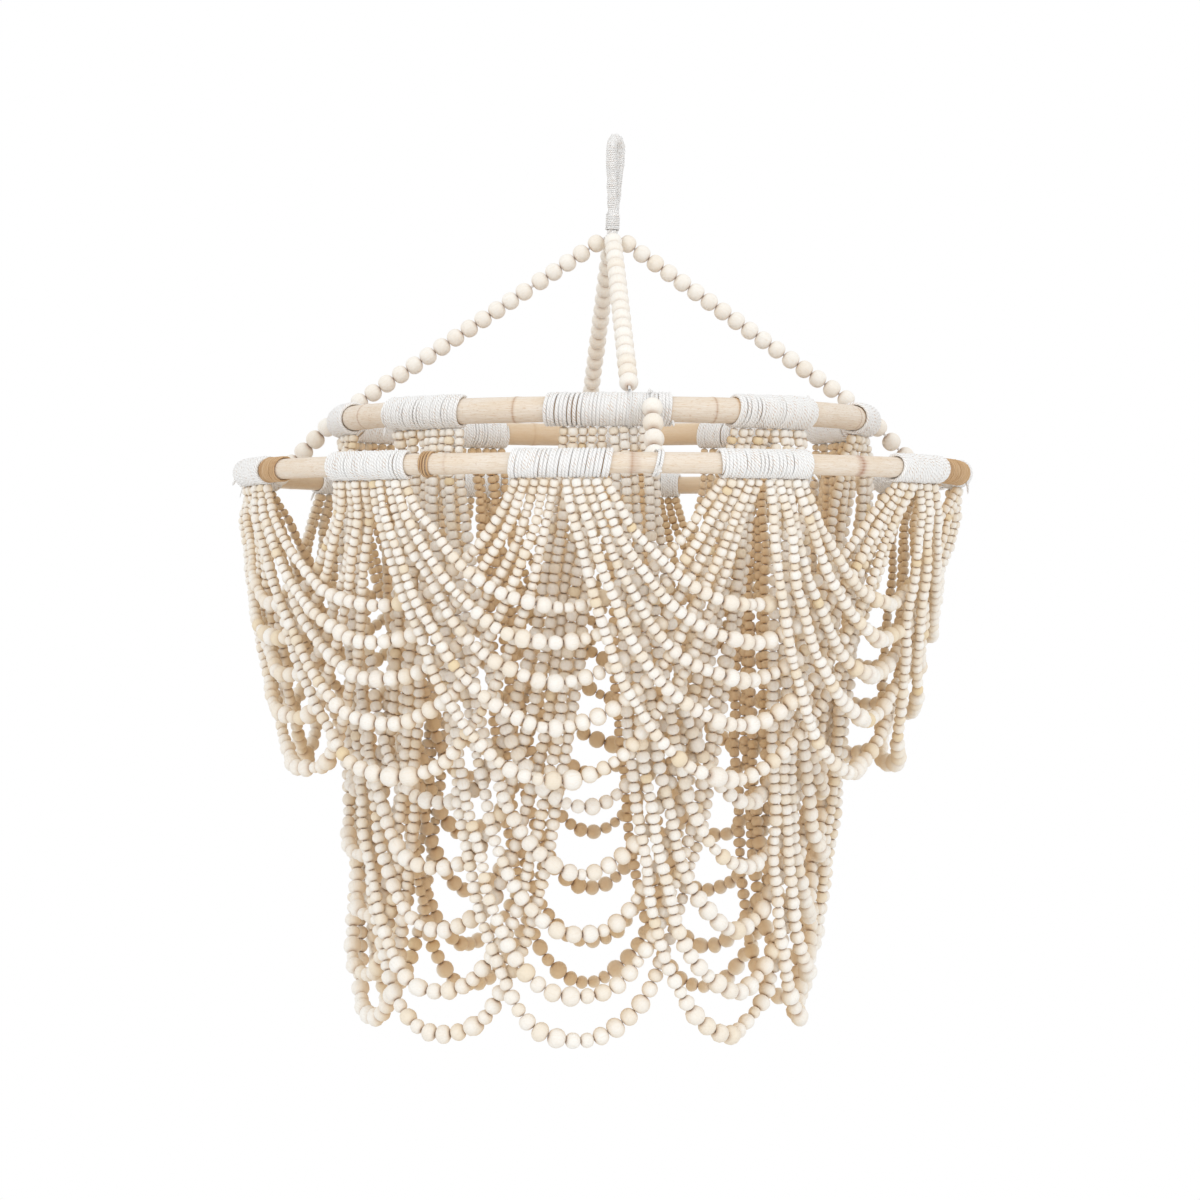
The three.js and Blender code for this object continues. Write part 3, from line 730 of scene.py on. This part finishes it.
# Cord, cane and round beads
def winding(batch, hoop, azimuth, length, bore, cord, pitch, gaps=2, lean=0.35):
    """A cord wound turn beside turn round a rod. A few turns stand apart and let the rod show."""
    turns = (length - 2 * cord) / pitch
    steps = int(turns * 16)
    turn = np.linspace(0, turns, steps + 1)
    advance = np.ones(steps)
    for place in rng.uniform(0.08, 0.94, gaps):
        advance += np.exp(-(((turn[1:] / turns - place) * turns / 0.4) ** 2)) * rng.uniform(0.25, 0.55)
    whole_turns = np.arange(0, turns + 2)
    advance += np.interp(turn[1:], whole_turns, rng.normal(0, UNEVEN, len(whole_turns)))
    along = np.concatenate([[0.0], np.cumsum(advance)])
    along = along / along[-1]
    facing = FULL_CIRCLE * turn + rng.uniform(0, FULL_CIRCLE)
    slope = lean * np.cos(np.radians(facing) + rng.uniform(0, TURN)) * arc_degrees(pitch, hoop["radius"])
    span = arc_degrees(length - 2 * cord, hoop["radius"])
    here = azimuth + span * (along - 0.5) + slope
    reach = bore + cord + np.interp(turn, whole_turns, rng.normal(0, UNEVEN, len(whole_turns)))
    path = tilted(on_rod(hoop, here, reach, facing))
    across, up = frames_along(path, hint=(0.3, 0.2, 1))
    batch.add(*tube(path, cord, 6, seed=rng.random(), taper=3, frames=(across, up)))
    return path


def tail(batch, start, direction, length, cord):
    """A loose cord end that leaves a winding and hangs."""
    t = np.linspace(0, 1, 9)[:, None]
    direction = np.asarray(direction, float)
    direction = direction / np.linalg.norm(direction)
    side = rng.normal(0, 0.25, 3)
    sag = np.array([0, 0, -0.5]) * length * t**2
    path = np.asarray(start) + length * (direction * t + side * t**2 * 0.5) + sag
    batch.add(*tube(path, cord * (1 - 0.25 * t[:, 0]), 6, seed=rng.random(), taper=2))


def small_knot(batch, centre, size, cord):
    """An overhand knot with two short tails."""
    t = np.linspace(0, TURN, 60, endpoint=False)
    spin = rng.normal(0, 1, (3, 3))
    axes = np.linalg.qr(spin)[0]
    knot = np.stack([np.sin(t) + 2 * np.sin(2 * t), np.cos(t) - 2 * np.cos(2 * t), -np.sin(3 * t)], 1) / 3
    path = np.asarray(centre) + size * knot @ axes
    batch.add(*tube(path, cord, 6, seed=rng.random(), closed=True))
    for _ in range(2):
        away = rng.normal(0, 1, 3) + np.array([0, -0.4, -0.3])
        tail(batch, centre, away, rng.uniform(5, 9), cord * 0.9)


def superellipse_rings(count, power, hole):
    """The profile of a turned round bead, from hole to hole."""
    angle = np.linspace(-math.pi / 2, math.pi / 2, count)
    radii = np.cos(angle) ** power
    heights = np.sign(angle) * np.abs(np.sin(angle)) ** 0.94
    rings = [(max(r, hole), h) for r, h in zip(radii, heights)]
    return [(hole * 0.9, rings[0][1] * 0.93), *rings, (hole * 0.9, rings[-1][1] * 0.93)]


ROUND_TEMPLATE = bead_template(24, superellipse_rings(15, 0.8, 0.2))


def round_beads(batch, places, axis, radius, length):
    """Round turned beads, one after another on a taut string."""
    unit, quads = ROUND_TEMPLATE
    helper = np.array([0.0, 0.0, 1.0]) if abs(axis[2]) < 0.9 else np.array([1.0, 0.0, 0.0])
    for place in places:
        own = axis + rng.normal(0, 0.03, 3)
        own /= np.linalg.norm(own)
        x = np.cross(helper, own)
        x /= np.linalg.norm(x)
        y = np.cross(own, x)
        spin = rng.random() * TURN
        size = radius * (1 + rng.normal(0, 0.012))
        flat = np.stack(
            [
                unit[:, 0] * math.cos(spin) - unit[:, 1] * math.sin(spin),
                unit[:, 0] * math.sin(spin) + unit[:, 1] * math.cos(spin),
            ],
            1,
        )
        local = np.column_stack([flat * size, unit[:, 2] * length / 2 * WOOD_SHARE])
        world = place + local[:, 0:1] * x + local[:, 1:2] * y + local[:, 2:3] * own
        tone = np.full(len(unit), 0.2 + 0.8 * rng.random())
        # Painted shade on the side that faces the axis, at a smaller share.
        inward_shade = ROUND_INWARD_SHARE * inward_share(world, np.asarray(place)[None])
        kind = np.column_stack([tone, np.abs(unit[:, 2]), inward_shade])
        batch.add(world, quads, points=np.column_stack([local, kind]))


def straight(start, end, count=14):
    return start + (end - start) * np.linspace(0, 1, count)[:, None]


def tie_bore(hoop, azimuths, azimuth):
    return (wrap_outer(hoop) if is_on_wrap(hoop, azimuths, azimuth) else hoop["rod"]) + 2 * CLEARANCE


def tie_point(hoop, azimuths, azimuth, facing):
    return on_rod(hoop, azimuth, tie_bore(hoop, azimuths, azimuth) + TIE_WALL / 2, facing)


def tie(batch, hoop, azimuths, azimuth, knot_facing):
    """Cord turns that hold a strand on a hoop, finished with a small knot."""
    form = TIE_ON_WRAP if is_on_wrap(hoop, azimuths, azimuth) else TIE_ON_ROD
    cord = form["cord"]
    bore = tie_bore(hoop, azimuths, azimuth) - form["closer"]
    winding(batch, hoop, azimuth, form["length"], bore, cord, 2.02 * cord, gaps=0, lean=0.5)
    knot = tilted(on_rod(hoop, azimuth + rng.normal(0, 0.3), bore + 2.1 * cord, knot_facing))
    small_knot(batch, knot, 1.9 * cord, cord * 0.85)


def beaded_strand(name, start, end, bead, ties, gap_shares=None):
    """A straight string of round beads between two points, with the cord that ties it.

    gap_shares says after which beads the string shows, and for what share of the slack. Without it all do.
    """
    length = np.linalg.norm(end - start)
    axis = (end - start) / length
    count = int((length - 2 * bead["bare"]) // bead["length"])
    slack = length - 2 * bead["bare"] - count * bead["length"]
    even = 0 if gap_shares else 0.92 / count
    gap_shares = gap_shares or {}
    places, here = [], bead["bare"]
    for i in range(count):
        places.append(start + axis * (here + bead["length"] / 2))
        here += bead["length"] + slack * gap_shares.get(i, even)
    beads, cords = Batch(), Batch()
    round_beads(beads, np.array(places), axis, bead["radius"], bead["length"])
    cords.add(*tube(straight(start, end), TAUT_STRING_RADIUS, 8, seed=rng.random()))
    ties(cords)
    dress(beads.piece(name + "_beads", BEAD), "frame", name)
    dress(cords.piece(name + "_cord", FINE_CORD), "frame", name)


def hanger(side, azimuth, gap_shares=None):
    """The bead strand from the crown knot to the upper hoop."""
    low = tilted(tie_point(UPPER_HOOP, UPPER_WRAPS, azimuth, HANGER_FACING))
    apex = np.array([0, 0, -APEX_DROP])
    axis = (low - apex) / np.linalg.norm(low - apex)
    high = apex + axis * (KNOT["radius"] + CLEARANCE)
    inner = apex + axis * 3
    name = "hanger_strand_" + side

    def ties(cords):
        cords.add(*tube(straight(inner, high, 4), 1.3, 8, seed=rng.random()))
        tie(cords, UPPER_HOOP, UPPER_WRAPS, azimuth, 120)

    beaded_strand(name, high, low, HANGER_BEAD, ties, gap_shares)


def drop(side, upper, outer):
    """The bead strand over the upper hoop and under the outer one, a tangent of both rods."""
    upper_reach = tie_bore(UPPER_HOOP, UPPER_WRAPS, upper) + TIE_WALL / 2
    outer_reach = tie_bore(OUTER_HOOP, OUTER_WRAPS, outer) + TIE_WALL / 2
    run = OUTER_HOOP["radius"] - UPPER_HOOP["radius"]
    fall = OUTER_HOOP["drop"] - UPPER_HOOP["drop"]
    crossing = math.asin((upper_reach + outer_reach) / math.hypot(run, fall))
    facing = math.degrees(math.pi / 2 - math.atan2(fall, run) - crossing)
    high = tilted(tie_point(UPPER_HOOP, UPPER_WRAPS, upper, facing))
    low = tilted(tie_point(OUTER_HOOP, OUTER_WRAPS, outer, facing + HALF_CIRCLE))

    def ties(cords):
        tie(cords, UPPER_HOOP, UPPER_WRAPS, upper, 60)
        tie(cords, OUTER_HOOP, OUTER_WRAPS, outer, -30)

    beaded_strand("drop_strand_" + side, high, low, DROP_BEAD, ties)


def hoop_piece(hoop, wrap_azimuths, seam, joints, stains):
    """The cane hoop, a smooth rod with slight swellings at its joints, and its seam under a wrap.

    stains holds the azimuth and the reach of each brown mark.
    """
    around, sides = 480, 20
    joint_reach = 2.6
    azimuths = seam + FULL_CIRCLE * np.arange(around) / around

    def marks_at(places):
        mark = np.zeros(around)
        for place, reach in places:
            away = degrees_between(azimuths, place) * math.radians(1) * hoop["radius"]
            mark = np.maximum(mark, np.exp(-((away / reach) ** 2)))
        return mark

    joint = marks_at([(place, joint_reach) for place in joints])
    stain = marks_at(stains)
    # Where the cane lies under a wrap, which the material paints with shade that shows between turns.
    under_wrap_shade = np.array([float(is_on_wrap(hoop, wrap_azimuths, azimuth)) for azimuth in azimuths])
    under_wrap_shade = np.minimum(under_wrap_shade, np.minimum(np.roll(under_wrap_shade, 1), np.roll(under_wrap_shade, -1)))
    points = tilted(on_rod(hoop, azimuths, 0.0, 0.0))
    out = outward(azimuths)
    up = np.broadcast_to(np.array([0.0, 0.0, 1.0]), out.shape)
    radii = hoop["rod"] * (1 + 0.035 * joint)
    verts, quads, corners = tube(points, radii, sides, closed=True, frames=(out, up))
    marks = np.repeat(np.stack([joint, stain, under_wrap_shade], 1), sides, 0)
    piece = mesh_piece(hoop["name"] + "_cane", verts, quads, CANE, {"fibre": corners}, {"cane_marks": marks})
    dress(piece, "frame", hoop["name"])


def wraps(hoop, azimuths, prefix):
    """The cotton windings that bind the strings to a hoop. Some of their cord ends stand out."""
    for i, azimuth in enumerate(azimuths):
        cords = Batch()
        length = wrap_length(hoop, i)
        cord = WRAP["cord"]
        bore = wrap_bore(hoop) - WRAP["closer"]
        pitch = rng.uniform(2.66, 2.8)
        path = winding(cords, hoop, azimuth, length, bore, cord, pitch, gaps=rng.integers(3, 7))
        for start, before in ((path[0], path[6]), (path[-1], path[-7])):
            if rng.random() < 0.35:
                tail(cords, start, start - before, rng.uniform(3, 7), cord * 0.8)
        name = f"{prefix}_{i + 1:02d}"
        dress(cords.piece(name + "_cord", CORD), "frame", name)


def loop_curve(count):
    """The outline of the hanging loop as in the CAD model, a centripetal spline, turned as it hangs."""
    top = LOOP["cord"]
    height = top - (KNOT["radius"] + KNOT["neck_length"] - APEX_DROP)
    half = [(x * LOOP["spread"], top - z * height) for x, z in LOOP_OUTLINE_SHARES]
    points = [(-x, z) for x, z in half] + [(0, top)] + [(x, z) for x, z in reversed(half)]
    knots = np.array([(x, 0, z) for x, z in points], float)
    padded = np.vstack([2 * knots[0] - knots[1], knots, 2 * knots[-1] - knots[-2]])
    gaps = np.linalg.norm(np.diff(padded, axis=0), axis=1) ** 0.5
    times = np.concatenate([[0], np.cumsum(gaps)])
    wanted = np.linspace(times[1], times[-2], count)
    path = []
    for t in wanted:
        i = int(np.clip(np.searchsorted(times, t, side="right") - 1, 1, len(padded) - 3))
        t0, t1, t2, t3 = times[i - 1 : i + 3]
        p0, p1, p2, p3 = padded[i - 1 : i + 3]
        a1 = (t1 - t) / (t1 - t0) * p0 + (t - t0) / (t1 - t0) * p1
        a2 = (t2 - t) / (t2 - t1) * p1 + (t - t1) / (t2 - t1) * p2
        a3 = (t3 - t) / (t3 - t2) * p2 + (t - t2) / (t3 - t2) * p3
        b1 = (t2 - t) / (t2 - t0) * a1 + (t - t0) / (t2 - t0) * a2
        b2 = (t3 - t) / (t3 - t1) * a2 + (t - t1) / (t3 - t1) * a3
        path.append((t2 - t) / (t2 - t1) * b1 + (t - t1) / (t2 - t1) * b2)
    turned = math.radians(LOOP["turned"])
    path = np.array(path)
    return np.column_stack([path[:, 0] * math.cos(turned), path[:, 0] * math.sin(turned), path[:, 2]])


def coil(reach, turn, bottom, pitch):
    """A winding round the hanging line, at each number of turns from its bottom."""
    return np.column_stack([reach * np.cos(TURN * turn), reach * np.sin(TURN * turn), bottom + pitch * turn])


def hanging_loop():
    """The loop of cord wound over a core, its whipped stem, and the whipping above the knot."""
    cords = Batch()
    outline = loop_curve(240)
    lengths = lengths_along(outline)
    along = np.arange(0, lengths[-1], 0.28)
    path = at_lengths(along, lengths, outline)
    across, up = frames_along(path, hint=(0, 1, 0))
    cords.add(*tube(path[::3], 3.4, 10, seed=0.3, frames=(across[::3], up[::3])))
    pitch, cord = 1.7, 0.85
    turn = TURN * along / pitch + 0.5 * np.sin(along / 9)
    centre = 4.5 - cord + 0.12 * np.sin(along / 2.3) + 0.1 * np.sin(along / 0.83)
    helix = path + (across * np.cos(turn)[:, None] + up * np.sin(turn)[:, None]) * np.asarray(centre)[:, None]
    cords.add(*tube(helix, cord, 6, seed=0.6))
    bottom = KNOT["radius"] + KNOT["neck_length"] - APEX_DROP
    heights = np.linspace(bottom + 0.3, bottom + LOOP["stem_length"] - 0.4, 12)
    stem = np.column_stack([np.zeros(12), np.zeros(12), heights])
    cords.add(*tube(stem, LOOP["stem"] - 1.1, 14, seed=0.1, taper=2))
    pitch, cord = 2.1, 1.05
    turns = (LOOP["stem_length"] - 2.2) / pitch
    turn = np.linspace(0, turns, int(turns * 20))
    cords.add(*tube(coil(LOOP["stem"] - cord, turn, bottom + 1.1, pitch), cord, 6, seed=0.8, taper=3))
    dress(cords.piece("hanging_loop_cord", LOOP_CORD), "loop", "hanging_loop")

    whipping = Batch()
    pitch, cord = 1.5, 0.7
    turns = (WHIPPING["length"] + WHIPPING["skirt"] - 2 * cord) / pitch
    turn = np.linspace(0, turns, int(turns * 24))
    reach = LOOP["stem"] + 0.1 + 0.08 * np.sin(TURN * turn * 0.37)
    wound = coil(reach, turn, bottom - WHIPPING["skirt"] + cord, pitch)
    whipping.add(*tube(wound, cord, 6, seed=0.45, taper=3))
    dress(whipping.piece("loop_whipping_cord", LOOP_CORD), "loop", "loop_whipping")


def crown_knot():
    """A ball knot where the hanger strings meet, with the neck of cord that it hangs by."""
    cords = Batch()
    t = np.linspace(0, TURN, 200, endpoint=False)
    ring = 2.2 + 0.9 * np.cos(4 * t)
    path = np.column_stack([ring * np.cos(3 * t), ring * np.sin(3 * t), 1.8 * np.sin(4 * t) - APEX_DROP])
    cords.add(*tube(path, 1.4, 8, seed=0.2, closed=True))
    core = np.column_stack([np.zeros(9), np.zeros(9), np.linspace(-2.6, 2.6, 9) - APEX_DROP])
    cords.add(*tube(core, 2.3, 12, seed=0.7, taper=3))
    top = KNOT["radius"] + KNOT["neck_length"] - APEX_DROP - CLEARANCE
    for k in range(3):
        turn = TURN * k / 3 + np.linspace(0, 2.6, 14)
        heights = np.linspace(-APEX_DROP + 2, top, 14)
        strand = np.column_stack([1.25 * np.cos(turn), 1.25 * np.sin(turn), heights])
        cords.add(*tube(strand, 1.15, 8, seed=0.31 * k + 0.1))
    dress(cords.piece("crown_knot_cord", CORD), "crown", "crown_knot")


def cane_binding(index, after, start_share, end_share):
    """Split cane over bare rod of the outer hoop, between shares of the way from a wrap to the next."""
    start = between_wraps(OUTER_HOOP, OUTER_WRAPS, after, start_share)
    end = between_wraps(OUTER_HOOP, OUTER_WRAPS, after, end_share)
    azimuth = (start + end) / 2
    length = math.radians(end - start) * OUTER_HOOP["radius"]
    strips = Batch()
    bore = wrap_bore(OUTER_HOOP) - WRAP["closer"]
    winding(strips, OUTER_HOOP, azimuth, length, bore, 0.8, 2.1, gaps=1, lean=0.2)
    name = f"cane_binding_{index + 1:02d}"
    dress(strips.piece(name + "_strip", STRIP), "frame", name)


# The chandelier
hanging_loop()
crown_knot()
hoop_piece(UPPER_HOOP, UPPER_WRAPS, 180, [22.5, 66, 131, 197, 265, 300, 342], [(100, 14)])
hoop_piece(OUTER_HOOP, OUTER_WRAPS, 173, [4.4, 40.5, 71, 129, 187, 246, 301, 337], [(4.6, 1.8), (41, 3)])
hanger("front", beside_strings(UPPER_HOOP, UPPER_WRAPS[0], 2))
hanger("right", between_wraps(UPPER_HOOP, UPPER_WRAPS, 2, 0.204), {0: 0.1, 11: 0.1, 14: 0.1, 15: 0.12})
hanger("back", beside_strings(UPPER_HOOP, UPPER_WRAPS[5], 2))
hanger("left", between_wraps(UPPER_HOOP, UPPER_WRAPS, 7, 0.796), {0: 0.33, 4: 0.55})
drop("front", beside_strings(UPPER_HOOP, UPPER_WRAPS[0], 4), between_wraps(OUTER_HOOP, OUTER_WRAPS, 0, 0.415))
drop("right", between_wraps(UPPER_HOOP, UPPER_WRAPS, 2, 0.87), between_wraps(OUTER_HOOP, OUTER_WRAPS, 3, 0.5))
drop("back", beside_strings(UPPER_HOOP, UPPER_WRAPS[5], 4), between_wraps(OUTER_HOOP, OUTER_WRAPS, 6, 0.433))
drop("left", between_wraps(UPPER_HOOP, UPPER_WRAPS, 7, 0.315), beside_strings(OUTER_HOOP, OUTER_WRAPS[9], 0))
wraps(UPPER_HOOP, UPPER_WRAPS, "upper_wrap")
wraps(OUTER_HOOP, OUTER_WRAPS, "outer_wrap")
threaded = swag_tier(UPPER_HOOP, INNER_TIER, UPPER_WRAPS, INNER_BEADS)
threaded += swag_tier(OUTER_HOOP, OUTER_TIER, OUTER_WRAPS, OUTER_BEADS)
print("beads in the swags:", threaded)
for index, spans in enumerate(BINDING_SPAN_SHARES):
    cane_binding(index, *spans)


# Camera, floor and light, in metres. CAMERA_PIXELS is the focal length in pixels of the photograph, and DOWN
# says how many of them the view is turned down.
PHOTO_PIXELS = 1200
CAMERA_PIXELS = 3100
CAMERA_PLACE = (0.0025, -2.57, -0.3575)
SENSOR_WIDTH = 36
ROLL = 2.55
DOWN = 25
CLIP_END = 60
FLOOR = {"height": -1.55, "radius": 3.4, "fade_from": 0.35, "fade_to": 0.85, "colour": (0.86, 0.855, 0.85, 1)}
WORLD = {"strength": 0.93, "tint": (0.995, 0.995, 0.99)}
WHITE = (1, 1, 1, 1)
LAMP_TARGET = (0, 0, -0.4)
KEY_LAMP = {"place": (-1.6, -3.2, 1.0), "size": 2.2, "energy": 19}
FILL_LAMP = {"place": (2.0, -3.0, 0.5), "size": 2.4, "energy": 16}


def add_camera():
    data = bpy.data.cameras.new("camera")
    data.sensor_width = SENSOR_WIDTH
    data.lens = SENSOR_WIDTH * CAMERA_PIXELS / PHOTO_PIXELS
    data.clip_end = CLIP_END
    camera = add_object("camera", data)
    roll = math.radians(ROLL)
    pitch = math.atan(DOWN / CAMERA_PIXELS)
    right = Vector((math.cos(roll), 0, math.sin(roll)))
    level_up = Vector((-math.sin(roll), 0, math.cos(roll)))
    back = Vector((0, -1, 0))
    backward = (back * math.cos(pitch) + level_up * math.sin(pitch)).normalized()
    up = (level_up * math.cos(pitch) - back * math.sin(pitch)).normalized()
    rotation = Matrix((right, up, backward)).transposed()
    camera.matrix_world = Matrix.Translation(CAMERA_PLACE) @ rotation.to_4x4()
    bpy.context.scene.camera = camera


def add_lamp(name, place, size, energy):
    data = bpy.data.lights.new(name, "AREA")
    data.shape = "DISK"
    data.size = size
    data.energy = energy
    lamp = add_object(name, data)
    lamp.location = place
    lamp.rotation_euler = (Vector(LAMP_TARGET) - Vector(place)).to_track_quat("-Z", "Y").to_euler()


def seen_directly(tree):
    """One for rays from the camera, and for reflections and refractions of it."""
    kinds = ("Camera", "Glossy", "Transmission")
    camera, glossy, sent = (tree.node("ShaderNodeLightPath", output=f"Is {kind} Ray") for kind in kinds)
    return tree.math("MAXIMUM", tree.math("MAXIMUM", camera, glossy), sent)


def add_world(strength, tint):
    """A world that lights the scene with its tint, and that the camera sees as white."""
    world = bpy.data.worlds.new("world")
    bpy.context.scene.world = world
    tree = Tree(world)
    background = tree.nodes["Background"]
    seen = seen_directly(tree)
    tree.connect(tree.span(seen, 0, 1, strength, 1), background.inputs["Strength"])
    tree.connect(tree.mix(seen, (*tint, 1), WHITE), background.inputs["Color"])


def add_floor(height, radius, fade_from, fade_to, colour):
    """A round pale floor below the chandelier that fades to the white of the background at its edge."""
    rings, sides = 12, 96
    reach = radius * np.linspace(0, 1, rings + 1)[1:]
    angles = TURN * np.arange(sides) / sides
    verts = [(0, 0, height)] + [(r * math.cos(a), r * math.sin(a), height) for r in reach for a in angles]
    faces = [(0, 1 + j, 1 + (j + 1) % sides) for j in range(sides)]
    for i in range(rings - 1):
        for j in range(sides):
            a, b = 1 + i * sides + j, 1 + i * sides + (j + 1) % sides
            faces.append((a, a + sides, b + sides, b))
    mesh = bpy.data.meshes.new("floor")
    mesh.from_pydata(verts, [], faces)
    s = Shader("floor", 0.9, Base_Color=colour)
    place = s.node("ShaderNodeTexCoord", output="Object")
    length = s.node("ShaderNodeVectorMath", output="Value", settings={"operation": "LENGTH"}, i0=place)
    fade = s.span(length, radius * fade_from, radius * fade_to)
    share = s.math("MULTIPLY", fade, seen_directly(s))
    glow = s.node("ShaderNodeEmission", Color=WHITE)
    mixed = s.node("ShaderNodeMixShader", i0=share, i1=s.bsdf.outputs[0], i2=glow)
    s.connect(mixed, s.nodes["Material Output"].inputs["Surface"])
    mesh.materials.append(s.material)
    floor = add_object("floor", mesh)


add_camera()
add_floor(**FLOOR)
add_world(**WORLD)
add_lamp("key", **KEY_LAMP)
add_lamp("fill", **FILL_LAMP)
bpy.context.scene.view_settings.view_transform = "Standard"
